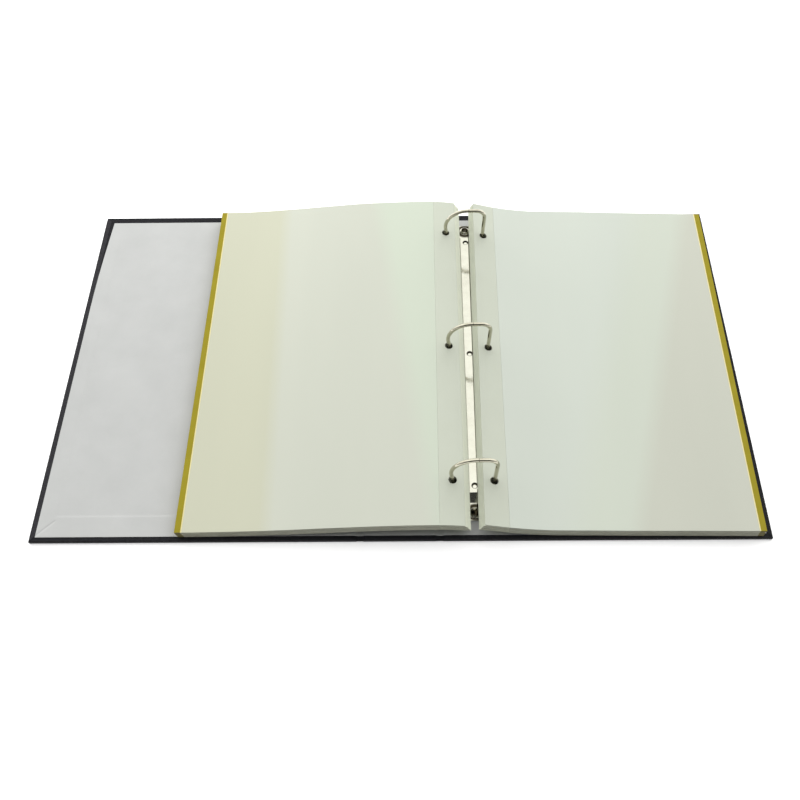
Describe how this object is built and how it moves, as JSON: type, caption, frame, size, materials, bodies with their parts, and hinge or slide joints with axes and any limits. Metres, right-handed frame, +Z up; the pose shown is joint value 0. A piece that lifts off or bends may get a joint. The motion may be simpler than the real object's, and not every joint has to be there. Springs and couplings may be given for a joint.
{
  "type": "ring binder album",
  "caption": "Open case-bound ring album: hinged front and back boards and spine, riveted plate with split D-rings, and stiff punched leaves in two stacks.",
  "frame": {"origin": "on the underside, in the middle of the open cover", "axes": "+X from the front board to the back board, +Y away from the reader along the spine, +Z up"},
  "size_m": [0.49, 0.288, 0.0472],
  "materials": {
    "leather_cloth": "dark navy leather-grain cloth, satin",
    "grey_board": "raw grey board",
    "lining_paper": "pale grey matt lining paper",
    "plate_nickel": "polished nickel plate",
    "ring_nickel": "polished nickel wire",
    "rivet_nickel": "polished nickel rivet",
    "washer_steel": "plain steel",
    "leaf_film": "cream card under glossy clear film",
    "binding_card": "smooth pale card",
    "edge_tape": "mustard yellow strip under film"
  },
  "bodies": {
    "back_cover": {"back_board": "grey_board", "back_covering": "leather_cloth", "back_lining": "lining_paper", "back_hinge_covering": "leather_cloth", "back_hinge_lining": "lining_paper", "ring_plate": "plate_nickel", "plate_rivets": "rivet_nickel", "rivet_washers": "washer_steel", "right_leaf_01": "leaf_film", "right_leaf_02": "leaf_film", "right_leaf_03": "leaf_film", "right_leaf_04": "leaf_film", "right_leaf_05": "leaf_film", "right_leaf_06": "leaf_film", "right_leaf_07": "leaf_film", "right_leaf_08": "leaf_film", "right_binding_strips": "binding_card", "right_edge_strips": "edge_tape"},
    "spine": {"spine_board": "grey_board", "spine_covering": "leather_cloth", "spine_lining": "lining_paper", "front_hinge_covering": "leather_cloth", "front_hinge_lining": "lining_paper"},
    "front_cover": {"front_board": "grey_board", "front_covering": "leather_cloth", "front_lining": "lining_paper"},
    "left_half_rings": {"left_hinge_blade": "plate_nickel", "left_ring_near": "ring_nickel", "left_ring_middle": "ring_nickel", "left_ring_far": "ring_nickel"},
    "right_half_rings": {"right_hinge_blade": "plate_nickel", "right_ring_near": "ring_nickel", "right_ring_middle": "ring_nickel", "right_ring_far": "ring_nickel"},
    "left_leaves": {"left_leaf_01": "leaf_film", "left_leaf_02": "leaf_film", "left_leaf_03": "leaf_film", "left_leaf_04": "leaf_film", "left_leaf_05": "leaf_film", "left_leaf_06": "leaf_film", "left_leaf_07": "leaf_film", "left_binding_strips": "binding_card", "left_edge_strips": "edge_tape"}
  },
  "joints": [
    {"name": "cover_close", "type": "hinge", "parent": "back_cover", "child": "spine", "pos_m": [0.0264, 0, 0], "axis": [0, 1, 0], "range_deg": [0, 90], "deforming": ["back_hinge_covering", "back_hinge_lining"]},
    {"name": "front_fold", "type": "hinge", "parent": "spine", "child": "front_cover", "pos_m": [-0.0264, 0, 0], "axis": [0, 1, 0], "range_deg": [0, 90], "deforming": ["front_hinge_covering", "front_hinge_lining"]},
    {"name": "left_leaves_turn", "type": "hinge", "parent": "back_cover", "child": "left_leaves", "pos_m": [0.0499, 0, 0.026], "axis": [0, 1, 0], "range_deg": [0, 180], "deforming": ["left_binding_strips"]},
    {"name": "ring_open", "type": "hinge", "parent": "back_cover", "child": "left_half_rings", "pos_m": [0.0352, 0, 0.0058], "axis": [0, -1, 0], "range_deg": [0, 6]},
    {"name": "right_ring_open", "type": "hinge", "parent": "back_cover", "child": "right_half_rings", "pos_m": [0.0654, 0, 0.0058], "axis": [0, 1, 0], "range_deg": [0, 6]}
  ],
  "couplings": [
    {"joint": "front_fold", "follows": "cover_close", "ratio": 1},
    {"joint": "left_leaves_turn", "follows": "cover_close", "ratio": 2},
    {"joint": "right_ring_open", "follows": "ring_open", "ratio": 1}
  ]
}
